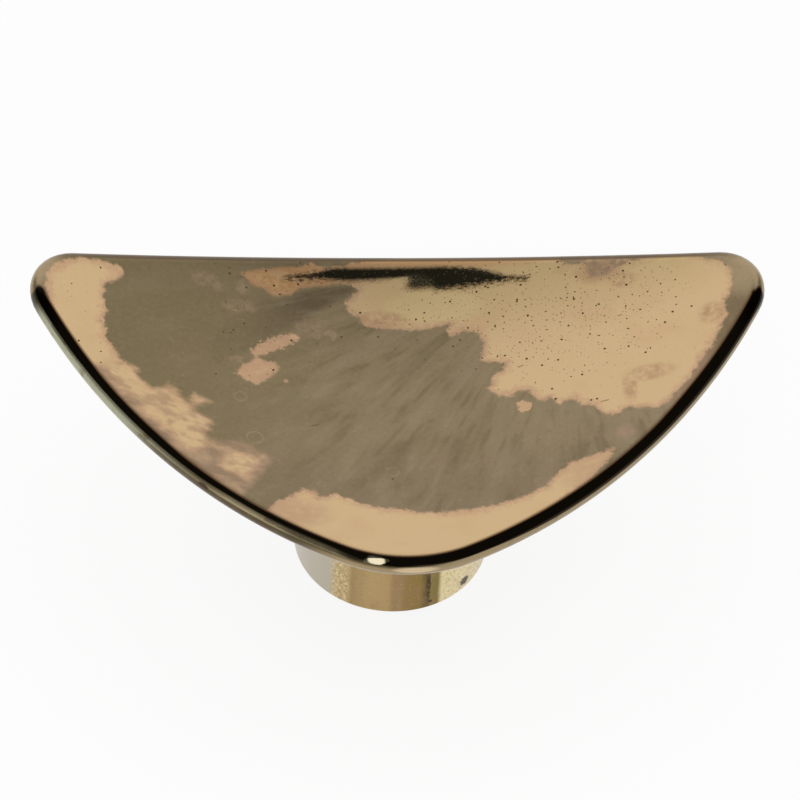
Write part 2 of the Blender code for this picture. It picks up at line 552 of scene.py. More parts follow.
BACK_PATCH = [
    (240.5, 273), (264, 269), (295, 268), (310, 264.5), (325, 268), (348, 264.5), (371, 261),
    (420, 250), (558, 250), (562, 266), (570, 264), (584, 263), (587, 272), (591, 278),
    (607, 275), (614, 269), (624, 264), (636, 260), (673, 250), (721, 262), (730, 269),
    (733, 280), (731, 292), (725, 299), (726, 308), (727, 318), (721, 327), (714, 343),
    (705.5, 354), (697, 365), (690, 377), (679, 389), (668, 402), (663, 407), (648.5, 408),
    (627, 407), (620, 412), (611, 414.5), (599, 410), (593, 404), (584, 405), (573, 398),
    (559, 404), (551.5, 397), (545, 401), (536, 398), (530, 390), (516, 392), (505.6, 398),
    (498, 395), (487, 388), (492, 385), (493, 375), (504, 370), (505.6, 363), (492, 362),
    (481, 361), (483.4, 352), (483, 339.5), (476.5, 332), (466, 330), (452, 336), (446, 332),
    (450, 324), (440, 327), (423, 330), (400, 330), (387, 329), (364, 326.5), (361, 319),
    (348, 311), (344, 302), (353, 296), (358, 290), (351, 285), (341, 283), (318, 286),
    (298, 288), (293, 295), (272, 296), (269, 291), (256.5, 286), (246, 279)]
BARE_PATCHES = [LEFT_PATCH, LOW_PATCH, FRONT_PATCH, SMALL_PATCH, BACK_PATCH]
BLUSH = [
    (96, 362), (108, 368), (122, 383), (140, 399), (156, 413), (172, 429), (186, 439),
    (203, 446), (220, 443), (240, 441), (253, 448), (262, 454), (270, 459), (262, 472),
    (252, 484), (242, 494), (232, 494), (214, 482), (188, 464), (158, 438), (126, 407),
    (92, 372)]
# Painted shade: a dark wedge on the tarnish at the back left
SHADE = [
    (262, 297), (280, 300), (300, 291), (320, 288), (358, 284), (353, 293), (334, 303),
    (306, 319), (280, 334), (252, 350), (232, 362), (214, 366), (206, 350), (222, 322)]
# A painted dark reflection near the back edge of the face
DARK_REFLECTION_OUTLINE = [
    (286, 277.6), (318, 273), (333, 269), (371, 269), (420, 268.4), (446, 267.6), (476.5, 269),
    (492, 273), (507, 277), (525, 278), (507, 278.5), (499.5, 280.6), (486, 282), (469, 285),
    (446, 287.5), (415, 291), (404.6, 289), (406, 279.8), (394, 277.5), (371, 279), (348, 280),
    (325, 278)]
FAR_FROM_PATCH = 0.003

# The clearest pits of the face; the rest are scattered
PIT_PIXELS = [
    (485.4, 286.6), (450, 301.7), (476.4, 291.8), (489, 313), (517, 299.7), (528, 315.5),
    (520.6, 285), (623, 271), (574, 299.3), (598.8, 304.3), (626.3, 285), (604.5, 348.8),
    (542, 365.3), (558, 360), (645.5, 352.5), (672.5, 312), (665, 322.5), (582, 374.5),
    (552, 388.8), (576, 277), (229.6, 273.5), (246.3, 287.6), (274, 285.7), (266, 271),
    (298.3, 284.4), (360, 312.7), (341.4, 337), (378, 337), (216, 374), (233.4, 330),
    (291.3, 340.3), (273.3, 370), (392.6, 479), (591.2, 400), (597, 398.8), (555.6, 398.9)]


def signed_distance(places, outlines):
    """How far each plan point lies inside the nearest of the outlines; negative outside."""
    nearest = np.full(len(places), FAR_FROM_PATCH)
    inside = np.zeros(len(places), dtype=bool)
    for outline in outlines:
        corners = np.array([CAMERA.on_face(pixel) for pixel in outline])
        within = np.zeros(len(places), dtype=bool)
        for first, last in zip(corners, np.roll(corners, -1, axis=0)):
            side = last - first
            offset = places - first
            share = np.clip(offset @ side / (side @ side), 0, 1)
            gap = np.linalg.norm(offset - share[:, None] * side, axis=1)
            nearest = np.minimum(nearest, gap)
            spans = (first[1] > places[:, 1]) != (last[1] > places[:, 1])
            with np.errstate(divide="ignore", invalid="ignore"):
                crossing = first[0] + offset[:, 1] / side[1] * side[0]
            within ^= spans & (places[:, 0] < crossing)
        inside |= within
    return np.where(inside, nearest, -nearest)


def lay_patina_and_painted_light(mesh):
    """Keeps each vertex's distance into the outlines of the patina, the painted shade and the
    painted dark reflection, in millimetres.
    """
    places = np.empty(len(mesh.vertices) * 3)
    mesh.vertices.foreach_get("co", places)
    places = places.reshape(-1, 3)[:, :2]
    outlines_by_name = {"bare": BARE_PATCHES, "blush": [BLUSH], "shade": [SHADE],
                        "dark_reflection": [DARK_REFLECTION_OUTLINE]}
    for name, outlines in outlines_by_name.items():
        layer = mesh.attributes.new(name, "FLOAT", "POINT")
        layer.data.foreach_set("value", signed_distance(places, outlines) * 1000)


# Finishes

def colour(red, green, blue):
    """A colour as written in a picture, from 0 to 255, as a shader takes it."""
    parts = [part / 255 for part in (red, green, blue)]
    return tuple(((part + 0.055) / 1.055)**2.4 for part in parts) + (1.0,)


class Finish(Tree):
    """A material's node tree, with its patterns measured in millimetres."""

    def __init__(self, name):
        self.material = bpy.data.materials.new(name)
        self.material.use_nodes = True
        super().__init__(self.material.node_tree)
        self.nodes.clear()
        self.place = self.make_vector("ShaderNodeTexCoord", {}, "Object") * 1000.0
        self.x, self.y, self.z = self.place.parts()

    def noise(self, scale, detail=2.0, roughness=0.5, place=None):
        """Noise from about -0.5 to 0.5, with so many waves to the millimetre."""
        found = self.make("ShaderNodeTexNoise", {}, 0, Vector=place or self.place, Scale=scale,
                          Detail=detail, Roughness=roughness)
        return found - 0.5

    def blend(self, mask, *shades):
        """The first colour with the second over it; each is a socket or red, green, blue."""
        under, over = (shade if isinstance(shade, Value) else colour(*shade) for shade in shades)
        settings = {"data_type": "RGBA", "clamp_factor": True}
        return self.make("ShaderNodeMix", settings, 0, mask, under, over)

    def layered(self, base, layers):
        """The base colour with each layer's colour over it, as far as its mask says."""
        for mask, shade in layers:
            base = self.blend(mask, base, shade)
        return base

    def any_of(self, masks):
        """The strongest of several masks at each place."""
        strongest = self.number(0.0)
        for mask in masks:
            strongest = strongest.most(mask)
        return strongest

    def attribute(self, name):
        return self.make("ShaderNodeAttribute", {"attribute_name": name}, "Fac")

    def from_spot(self, pixel, lean=0.0):
        """The plan's place from a pixel's spot on the face, its axes turned by lean radians."""
        spot = CAMERA.on_face(pixel) * 1000
        along = (self.x - spot.x) * math.cos(lean) + (self.y - spot.y) * math.sin(lean)
        across = (self.y - spot.y) * math.cos(lean) - (self.x - spot.x) * math.sin(lean)
        return along, across

    def spot(self, pixel, reach, lean=0.0, roughly=0.0):
        """An oval that fades from 1 at a pixel's spot to 0 at its reach in millimetres.

        lean turns it, in degrees, and roughly is a noise that makes its edge uneven.
        """
        along, across = self.from_spot(pixel, math.radians(lean))
        apart = (along / reach[0]) ** 2 + (across / reach[1]) ** 2
        return (apart + roughly).over(1.0, 0.0)

    def ring(self, pixel, radius, width):
        along, across = self.from_spot(pixel)
        apart = (along ** 2 + across ** 2) ** 0.5
        return (apart - radius).absolute().over(width, 0.0)

    def scratch(self, first, last, width):
        """A thin mark from pixel to pixel."""
        start, end = CAMERA.on_face(first), CAMERA.on_face(last)
        middle = ((first[0] + last[0]) / 2, (first[1] + last[1]) / 2)
        along, across = self.from_spot(middle, math.atan2(end.y - start.y, end.x - start.x))
        half = (end - start).length * 500
        return across.absolute().over(width, width * 0.3) * along.absolute().over(half, half * 0.6)

    def specks(self, plan, scale, chance, size):
        """Round specks in some of the plan's cells, of so many cells to the millimetre."""
        node = self.node("ShaderNodeTexVoronoi", {"voronoi_dimensions": "2D"}, Vector=plan,
                         Scale=scale)
        apart = Value(self, node.outputs["Distance"])
        draw = Arrow(self, node.outputs["Color"])
        picked, sized, _ = draw.parts()
        reach = (sized * 0.7 + 0.5) * size * scale
        return (reach - apart).over(-0.05, 0.06) * (chance - picked).over(0.0, 0.02)


BRUSH_FAN_PIXEL = (565, 225)
BRUSH_SWING_SCALE = 20
BRUSH_LENGTH = 5


class Bronze(Finish):
    """The knob's finish, with the noises, smears and brush marks that its parts share."""

    def __init__(self, name):
        super().__init__(name)
        self.grain = self.noise(6.0, 3.0, 0.65)
        self.fleck = self.noise(2.6, 4.0, 0.7)
        self.ragged = self.noise(1.3, 3.0, 0.6)
        self.mottle = self.noise(0.25, 2.0, 0.5)
        slanted = self.vector(self.x * 0.7, self.y * 1.2 + self.x * 0.35, 0.0)
        self.smear = self.noise(0.62, 2.0, 0.55, slanted)
        self.is_smeared = self.spot((178, 424), (9.5, 5.5), lean=-38).over(0.0, 0.5)

        # Brush marks fan out from a point behind the plate
        along, across = self.from_spot(BRUSH_FAN_PIXEL)
        swing = across.maths("ARCTAN2", along) * BRUSH_SWING_SCALE
        away = (along ** 2 + across ** 2) ** 0.5 / BRUSH_LENGTH
        fan = self.vector(swing, away, 0.0)
        self.streaks = self.noise(1.2, 2.0, 0.5, fan)
        self.broad_streaks = self.noise(0.5, 2.0, 0.5, fan)
        self.is_brushed = (self.x.over(-16.0, 0.0) * 0.75 + 0.25) * self.x.over(26.0, 20.0)


# Spots on the face: their pixel in the photograph and their reach in millimetres
PALE_CLOUDS = [
    ((217, 282), (0.9, 1.1)), ((243, 287), (0.8, 1.0)), ((240, 307), (1.8, 1.0)),
    ((331, 335), (0.8, 0.7)), ((310, 326), (1.8, 0.9)), ((236, 359), (1.1, 0.5)),
    ((316, 336), (0.7, 0.4)), ((205, 279), (1.3, 0.9))]
CLEAR_STAIN = ((712.7, 312.7), (1.4, 1.4))
FAINT_STAINS = [
    ((650, 372), (2.6, 1.1)), ((630, 386), (0.8, 2.2)), ((380, 320), (2.8, 1.1)),
    ((597, 272), (2.6, 1.4)), ((622, 280), (1.5, 1.0)), ((312, 490), (0.8, 0.6))]
PURPLE_SPOT = ((604, 266), (2.6, 2.2))
FRAYED_SPOT = ((274, 345), (2.8, 1.3))
# Where the painted dark reflection thins out
THIN_DARK_REFLECTION_SPOT = ((413, 286.5), (2.3, 1.5))

# Rings: pixel, radius and width; scratches: both ends' pixels, width and strength
RINGS = [
    ((240.5, 396.2), 0.5, 0.13), ((255, 437.5), 0.65, 0.12), ((330, 335), 0.45, 0.12),
    ((392.6, 472), 0.5, 0.12), ((321.7, 484.6), 0.3, 0.12)]
SCRATCHES = [
    ((310, 426.5), (320, 424), 0.09, 1.0), ((517, 367.5), (524, 365), 0.1, 1.0),
    ((600, 402), (610, 399.5), 0.1, 1.0), ((370, 461), (410, 420), 0.3, 0.45)]


def bare_depth(bronze):
    """How far into the bare metal a place lies, in millimetres, with ragged borders."""
    frayed = bronze.spot(*FRAYED_SPOT).over(0.0, 0.4) + 0.15
    depth = bronze.attribute("bare") + bronze.ragged * 0.75 + bronze.grain * 0.3
    depth = depth + bronze.fleck * frayed * 1.4
    return depth - bronze.smear * bronze.is_smeared * 2.0


def bare_mask(bronze, depth, purple):
    """1 on bare metal and 0 on tarnish, with two lone dots and a worn purple spot."""
    softness = bronze.is_smeared * 0.3
    patches = ((depth + 0.18 + softness) / (softness * 2 + 0.34)).over(0.0, 1.0)
    uneven = bronze.ragged * 2.4 + bronze.fleck * 0.8
    large_dot = bronze.spot((524.8, 405), (0.72, 0.76), roughly=uneven).over(0.0, 0.5)
    small_dot = bronze.spot((286, 381), (0.28, 0.28)) * 0.8
    wear_and_highlight = (bronze.fleck * 0.7 + bronze.ragged + 0.2).over(0.0, 0.5) * 0.8
    return patches.most(large_dot).most(small_dot).most(purple * wear_and_highlight)


def tarnish_shades(bronze, purple):
    """Olive tarnish, browner to the right, with shades, painted shade at the back left and along
    the back edge, brush marks and pale clouds.
    """
    x, y, ragged, fleck, mottle = bronze.x, bronze.y, bronze.ragged, bronze.fleck, bronze.mottle
    streaks, broad, brushed = bronze.streaks, bronze.broad_streaks, bronze.is_brushed
    corners = bronze.spot((748, 268), (3.4, 3.4)).most(bronze.spot((38, 266), (3, 3)))
    right_side = bronze.spot((728, 318), (3.0, 6.0), lean=-20)
    # Painted shade: a dark wedge at the back left and darker tarnish along the back edge
    shade = (bronze.attribute("shade") + ragged * 0.3).over(-0.5, 0.6)
    shade = shade * (x.over(-14.0, -5.0) * 0.75 + 0.15)
    shaded_back_edge = y.over(10.8, 13.2) * x.over(2.0, -3.0) * x.over(-26.0, -18.0)
    clouds = bronze.any_of(bronze.spot(*cloud) for cloud in PALE_CLOUDS)
    clouds = clouds * (fleck * 0.4 + ragged * 1.3 + 0.3).over(0.0, 0.6)
    rosy_spot = bronze.spot((626, 431), (1.1, 1.0)) * (ragged + 0.4).over(0.0, 0.6)
    rosy_strip = bronze.spot((694, 380), (4.6, 1.0), lean=57)
    olive = bronze.blend(x.over(-24.0, 2.0), (125, 110, 79), (140, 123, 94))
    return bronze.layered(olive, [
        (x.over(8.0, 18.0), (146, 128, 100)),
        (y.over(-6.0, -11.0) * 0.6, (128, 110, 86)),
        (right_side * 0.9, (124, 106, 78)),
        (corners, (166, 145, 112)),
        (shade, (92, 78, 57)),
        (shaded_back_edge, (104, 90, 66)),
        (mottle.over(0.0, 0.25) * 0.5, (128, 116, 84)),
        (streaks.over(-0.02, -0.2) * brushed * 0.55, (112, 96, 70)),
        (streaks.over(0.02, 0.2) * brushed * 0.5, (150, 134, 106)),
        (broad.over(0.02, 0.2) * brushed * 0.6, (145, 129, 102)),
        (broad.over(-0.02, -0.2) * brushed * 0.5, (118, 101, 76)),
        (fleck.over(0.0, 0.3) * 0.4, (150, 136, 104)),
        (fleck.over(0.0, -0.3) * 0.4, (106, 92, 66)),
        (clouds * 0.7, (164, 138, 112)),
        (purple * 0.8, (152, 126, 100)),
        (rosy_spot * 0.8, (164, 134, 114)),
        (rosy_strip * 0.45, (160, 124, 100))])


def bare_shades(bronze, depth):
    """Gold-brown bare metal: pink along its borders, with painted shade toward the back, darker
    and redder at the back left, a lighter, yellower spot in that shade, and rosy and stained
    places.
    """
    x, y, ragged, fleck, mottle = bronze.x, bronze.y, bronze.ragged, bronze.fleck, bronze.mottle
    inner = (depth + mottle * 0.8 + ragged * 0.8).over(-0.05, 0.8)
    # Painted shade toward the back and along the back edge, darker and redder at the back left;
    # the yellow spot lightens it
    shaded = y.over(4.5, 11.0) * x.over(-4.0, 2.0) * x.over(32.0, 22.0)
    shaded_near_back = (y + ragged * 0.6).over(11.2, 12.4) * x.over(18.0, 9.0)
    shaded_back_left = bronze.spot((275, 281), (6.5, 2.6)).over(0.0, 0.6)
    shaded_back_left = shaded_back_left * ((ragged + fleck * 0.4).over(-0.2, 0.25) * 0.6 + 0.4)
    yellow = bronze.spot((434, 306), (5.0, 2.2)).over(0.0, 0.8)
    rosy = bronze.any_of([bronze.spot((268, 358), (3.6, 3.6)).over(0.0, 0.4),
                          bronze.spot((290, 512), (4.2, 2.4)) * 0.8,
                          bronze.spot((594, 466), (4.0, 2.2), lean=40) * 0.7])
    rosy = rosy * (ragged + 0.5).over(0.1, 0.6)
    veins = (bronze.smear + ragged * 0.4).over(-0.1, 0.14)
    stains = bronze.any_of(bronze.spot(*stain) * 0.9 for stain in FAINT_STAINS)
    stains = stains.most(bronze.spot(*CLEAR_STAIN))
    stains = stains * (fleck * 0.3 + ragged * 0.8).over(-0.28, 0.28)
    gold = bronze.blend(inner, (190, 153, 121), (205, 175, 132))
    return bronze.layered(gold, [
        (mottle.over(0.0, -0.22) * 0.6, (200, 166, 125)),
        (fleck.over(0.0, 0.3) * 0.3, (214, 186, 146)),
        (shaded * 0.5, (184, 162, 114)),
        (shaded_near_back * 0.85, (193, 149, 105)),
        (shaded_back_left * 0.9, (174, 129, 84)),
        (yellow * 0.4, (214, 192, 140)),
        (rosy * 0.9, (182, 146, 116)),
        (bronze.is_smeared * veins * 0.8, (172, 140, 110)),
        (stains * 0.9, (166, 126, 98))])


def pitted(bronze, metal, is_bare):
    """The metal with its pits, crowded on the right of the bare metal, and pale flecks."""
    wobble = bronze.make_vector("ShaderNodeTexNoise", {}, "Color", Vector=bronze.place,
                                Scale=3.0, Detail=1.0) * 0.3
    cells = bronze.place + wobble
    crowd = bronze.spot((540, 315), (15, 8)) + bronze.spot((290, 305), (9, 8)) * 0.5 + 0.12
    crowd = crowd * (is_bare * 0.6 + 0.4) * bronze.y.over(-7.0, 1.0)
    scattered = bronze.specks(cells, 1.7, crowd * 0.3, 0.075)
    fine = bronze.specks(cells, 3.4, crowd * 0.3, 0.045)
    flecks = bronze.specks(cells, 0.8, bronze.number(0.1), 0.12) * (1 - is_bare)
    plan = bronze.vector(bronze.x, bronze.y, 0.0)
    nearest = bronze.number(1.0)
    for pixel in PIT_PIXELS:
        spot = CAMERA.on_face(pixel) * 1000
        nearest = nearest.least(plan.distance((spot.x, spot.y, 0.0)))
    pits = scattered.most((nearest + bronze.grain * 0.12).over(0.13, 0.06))
    return bronze.layered(metal, [
        (pits * (is_bare * 0.25 + 0.75), (66, 44, 14)),
        (fine * 0.75, (98, 70, 34)),
        (flecks * 0.3, (160, 148, 118))])


def marked(bronze, metal):
    """The metal with its rings and scratches."""
    rings = bronze.any_of(bronze.ring(*ring) for ring in RINGS)
    rings = rings * (bronze.ragged + 0.4).over(0.1, 0.6)
    scratches = bronze.any_of(bronze.scratch(first, last, width) * strength
                              for first, last, width, strength in SCRATCHES)
    return bronze.layered(metal, [(rings * 0.5, (160, 146, 114)),
                                  (scratches * 0.55, (85, 68, 45))])


def with_dark_reflection(bronze, metal):
    """The metal with a painted dark reflection near the back edge, wispy at its ends."""
    slanted = bronze.vector(bronze.x * 2.2 + bronze.y * 1.4, bronze.y * 4.5 - bronze.x, 0.0)
    wisps = bronze.noise(1.0, 4.0, 0.7, slanted)
    hairs = bronze.noise(3.0, 3.0, 0.7, slanted)
    ends = bronze.x.over(-4.5, -6.5) + bronze.x.over(3.0, 6.5) + bronze.y.over(10.9, 10.0)
    depth = bronze.attribute("dark_reflection") + wisps * (ends * 0.8 + 0.4) + hairs * (ends * 0.7 + 0.3)
    thin = bronze.spot(*THIN_DARK_REFLECTION_SPOT).over(0.0, 0.7)
    depth = depth + 0.1 - thin * (hairs * 2.4 + wisps * 1.4 + 0.34)
    fringe = depth.over(-0.5, -0.1) * bronze.y.over(11.0, 10.2)
    sparkle = bronze.noise(5.5, 2.0, 0.5).over(0.1, 0.22)
    # The painted dark reflection's colour, with paler sparkles and thin places
    painted_dark_reflection = bronze.layered((30, 26, 14), [
        (sparkle * 0.55, (98, 88, 66)),
        (thin * (bronze.grain + hairs).over(-0.1, 0.15) * 0.65, (98, 90, 66))])
    return bronze.layered(metal, [(fringe * 0.5, (128, 98, 62)),
                                  (depth.over(-0.28, 0.28), painted_dark_reflection)])


def face_metal(bronze):
    """The face's colour, and where it is bare: gold-brown patches in olive tarnish."""
    depth = bare_depth(bronze)
    purple = bronze.spot(*PURPLE_SPOT).over(0.0, 0.4)
    is_bare = bare_mask(bronze, depth, purple)
    ragged, smear = bronze.ragged, bronze.smear
    blush = (bronze.attribute("blush") + ragged * 0.9 + smear * 0.6).over(-0.5, 0.4)
    blush_shade = bronze.blend((smear + bronze.fleck * 0.4).over(-0.16, 0.16),
                               (186, 154, 122), (152, 126, 100))
    metal = bronze.layered(tarnish_shades(bronze, purple), [
        (blush * 0.85, blush_shade), (is_bare, bare_shades(bronze, depth))])
    metal = pitted(bronze, metal, is_bare)
    return with_dark_reflection(bronze, marked(bronze, metal)), is_bare


# The dark band on the rim, a painted dark reflection, in degrees round the edge, to the left and
# to the right
BAND_START = (26, 22)
BAND_END = (61, 86)
# Painted highlights and a nick on the rim: their x in millimetres and their degrees round the edge
# A painted highlight: a paler oval in the band, which the softbox's real reflection lights up
PAINTED_HIGHLIGHT_SPOT = (-2.56, 58)
PAINTED_HIGHLIGHT_REACH = (0.78, 22)
# A painted highlight under the front tip
PAINTED_HIGHLIGHT_TIP = (0.6, 97)
PAINTED_HIGHLIGHT_TIP_REACH = (2.2, 22)
NICK = (-16.1, 86)
NICK_REACH = (0.5, 14)


def band_limits(x, side, left_front):
    """Where the dark band, a painted dark reflection, starts and ends round the edge, in degrees.
    """
    start = side * (BAND_START[1] - BAND_START[0]) + BAND_START[0] - x.over(-23, -28) * 9
    start = start + x.over(-20.0, -17.0) * x.over(23.5, 20.0) * 7
    end = side * (BAND_END[1] - BAND_END[0]) + BAND_END[0]
    end = end - x.absolute().over(13.0, 6.0) * 5
    end = end + (x + 1.9).absolute().over(3.2, 0.8) * 10
    return start, end - left_front * 6


def rim_metal(bronze, face):
    """The round edge: a painted dark reflection along the front sides, darkened further by the dim
    room's real reflection, with painted highlights, and pale below that.
    """
    x, y = bronze.x, bronze.y
    turn = bronze.attribute("turn")
    stain = bronze.noise(0.9, 2.0, 0.5)
    side = x.over(-12.0, 12.0)
    left_front = x.over(-16.5, -13.5) * x.over(-4.4, -6.2)
    start, end = band_limits(x, side, left_front)
    past = turn - end
    rounded = (((turn - (start + end) / 2) / 22) ** 2).least(1.0)
    front = (y + side * 0.15 + rounded * 0.4).over(6.2, 5.7)

    def near(middle, reach, power=2):
        """Below 1 within an oval round a mark on the rim."""
        across = ((x - middle[0]) / reach[0]).absolute() ** power
        return across + ((turn - middle[1]) / reach[1]).absolute() ** power

    # A painted reflection: a paler stripe just past the band on the left front
    glint = past.over(-2, 13) * past.over(32, 19) * left_front
    glint = glint * (x.over(-8.6, -10.4) * 0.35 + 0.5 + stain * 0.5)
    lip = turn.over(80, 98) * x.absolute().over(9.5, 5.0)
    pale = bronze.blend(x.over(-24.0, -15.5), (167, 166, 139), (130, 119, 90))
    pale = bronze.layered(pale, [
        (x.over(-15.5, -8.0), (80, 71, 48)),
        (x.over(-2.0, 5.0), (153, 136, 105)),
        (stain.over(0.05, 0.25) * 0.6, (104, 88, 60)),
        (glint, (202, 186, 148)),
        (lip, (156, 136, 101)),
        # The painted highlight under the front tip
        (near(PAINTED_HIGHLIGHT_TIP, PAINTED_HIGHLIGHT_TIP_REACH).over(1.0, 0.2) * 0.9, (208, 186, 150))])

    back_line = turn.over(2, 18) * y.over(8.5, 10.5)
    # Painted shade: a darker brown line along the silhouette on the left
    shaded_outer_line = turn.over(78, 90) * x.over(-23.0, -19.0) * x.over(-9.0, -12.0)
    specks = bronze.noise(2.0, 3.0, 0.7).over(0.12, 0.22) * shaded_outer_line
    nick = (near(NICK, NICK_REACH) + stain).over(1.0, 0.3)
    band = (turn - start).over(-3, 3) * past.over(3, -3) * front
    # The painted highlight in the band
    wear_and_highlight = near(PAINTED_HIGHLIGHT_SPOT, PAINTED_HIGHLIGHT_REACH, power=3).over(1.0, 0.25)
    # The band's colour, a painted dark reflection, darkest at the corners
    painted_dark_reflection = bronze.blend(x.absolute().over(27.2, 28.8), (46, 40, 30), (24, 20, 14))
    metal = bronze.layered(face, [
        (back_line * 0.9, (96, 78, 58)),
        # A red-brown fade above the band and a dark fade past its end, edges of the painted dark
        # reflection
        ((turn - start).over(-14, 0) * front * 0.85, (116, 74, 40)),
        (past.over(-3, 3) * front, (70, 66, 50)),
        (past.over(-3, 3) * y.over(5.0, 3.2), pale),
        (shaded_outer_line * (stain * 0.6 + 0.85), (84, 68, 46)),
        (specks * 0.8, (170, 146, 96)),
        (nick * 0.8, (64, 44, 28)),
        # Painted shade where the edge turns under
        (turn.over(115, 145), (118, 100, 70)),
        (band, painted_dark_reflection),
        (wear_and_highlight * front, (178, 168, 144))])
    return metal, band


# The foot's colours by the angle round it from the front, in degrees: painted reflection bands
FOOT_PAINTED_REFLECTIONS = [
    (-90, (188, 180, 166)), (-41, (184, 175, 156)), (-37, (192, 168, 122)), (-29, (188, 162, 115)),
    (-26, (160, 134, 88)), (-15, (178, 150, 102)), (-4, (176, 147, 99)), (-1, (154, 126, 86)),
    (3, (156, 128, 88)), (7, (144, 118, 66)), (15, (138, 113, 54)), (18.6, (90, 74, 20)),
    (20.2, (54, 43, 5)), (21, (58, 47, 8)), (21.8, (134, 114, 56)), (26.5, (128, 108, 52)),
    (29, (226, 208, 160)), (60, (222, 203, 160)), (90, (170, 152, 120))]
FOOT_PITS = [((464.4, 580.3), (0.62, 0.56)), ((430, 601), (0.24, 0.22))]


def on_foot(pixel):
    """The azimuth in degrees and the height in millimetres of a pixel's spot on the foot."""
    ray = CAMERA.ray(pixel)
    flat = ray.x**2 + ray.y**2
    toward = CAMERA.place.x * ray.x + CAMERA.place.y * ray.y
    apart = CAMERA.place.x**2 + CAMERA.place.y**2 - FOOT_RADIUS**2
    point = CAMERA.place + ray * ((-toward - math.sqrt(toward**2 - flat * apart)) / flat)
    return math.degrees(math.atan2(point.x, -point.y)), point.z * 1000


def foot_metal(bronze, off_axis):
    """The foot, with painted reflection bands by the angle round it from the front in degrees, and
    its turned base.
    """
    azimuth = bronze.x.maths("ARCTAN2", -bronze.y) * (180 / math.pi)
    grain = bronze.noise(4.5, 4.0, 0.7)
    slow = bronze.noise(0.7, 2.0, 0.5)
    stops = [((angle + 90) / 180, colour(*shade)) for angle, shade in FOOT_PAINTED_REFLECTIONS]
    shades = bronze.make("ShaderNodeValToRGB", {"stops": stops}, 0,
                         (azimuth + grain * 2 + slow * 1.5 + 90) / 180)
    speckled = azimuth.over(-43, -36) * azimuth.over(-26, -30) + azimuth.over(28, 33)
    middle = azimuth.over(-28, -22) * azimuth.over(28, 22)
    collar = bronze.z.over(14.6, 16.0) * middle
    metal = bronze.layered(shades, [
        (speckled * grain.over(0.02, 0.12) * 0.7, (236, 220, 176)),
        (speckled * grain.over(-0.02, -0.12) * 0.6, (146, 118, 70)),
        (middle * slow.over(0.0, 0.2) * 0.4, (150, 118, 80)),
        (middle * grain.over(0.07, 0.18) * 0.45, (198, 170, 120)),
        (middle * grain.over(-0.07, -0.18) * 0.35, (126, 98, 58)),
        (collar * 0.6, (194, 158, 104))])
    for pixel, reach in FOOT_PITS:
        angle, height = on_foot(pixel)
        round_it = (azimuth - angle) * math.radians(FOOT_RADIUS * 1000) / reach[0]
        up_it = (bronze.z - height) / reach[1]
        pit = (round_it ** 2 + up_it ** 2 + grain).over(1.0, 0.4)
        metal = bronze.blend(pit * 0.95, metal, (62, 48, 24))
    behind = azimuth.absolute().over(75, 130)
    turning_marks = bronze.noise(2.5, 3.0, 0.6, bronze.vector(off_axis, 0.0, 0.0))
    turned = bronze.blend(turning_marks.over(-0.15, 0.15), (146, 124, 84),
                          (176, 152, 108))
    is_turned = bronze.z.over(0.2, 0.05).most(off_axis.over(2.6, 2.4))
    return bronze.layered(metal, [(behind, (160, 138, 98)), (is_turned, turned)])


def aged_bronze():
    bronze = Bronze("aged_bronze")
    face, is_bare = face_metal(bronze)
    rim, band = rim_metal(bronze, face)
    off_axis = (bronze.x ** 2 + bronze.y ** 2) ** 0.5
    reach = FOOT_RADIUS * 1000
    is_foot = off_axis.over(reach * 1.15, reach * 1.05) * bronze.z.over(17.2, 16.2)
    below = bronze.attribute("turn").over(150, 178)
    dull = bronze.noise(0.5, 3.0, 0.6).over(-0.2, 0.2)
    cast = bronze.blend(dull, (128, 108, 76), (152, 130, 94))
    metal = bronze.layered(rim, [(below, cast), (is_foot, foot_metal(bronze, off_axis))])
    polished = is_bare * (1 - below)
    relief = bronze.streaks * 0.4 + bronze.grain * 0.2
    bump = bronze.make("ShaderNodeBump", {}, 0, Strength=0.25, Distance=0.00002, Height=relief)
    shine = bronze.node("ShaderNodeBsdfPrincipled", {}, **{
        "Base Color": metal,
        "Metallic": (polished * 0.12 + 0.78).most(band),
        "Roughness": 0.3 - polished * 0.14 - band * 0.16,
        "Normal": bump,
    })
    bronze.node("ShaderNodeOutputMaterial", {}, shine.outputs[0])
    return bronze.material


# The studio

PALE_PANEL_MIDDLE = math.radians(33)
PALE_PANEL_HALF_HEIGHT = math.radians(40)
PALE_PANEL_HALF_WIDTH = 0.66
PALE_PANEL_EDGE = (1.3, 0.75)
PALE_PANEL_DIM_TOP = (0.74, 0.92)
ROOM_LEVEL = 0.14
SOFT_LIGHT_LEVEL = 0.9


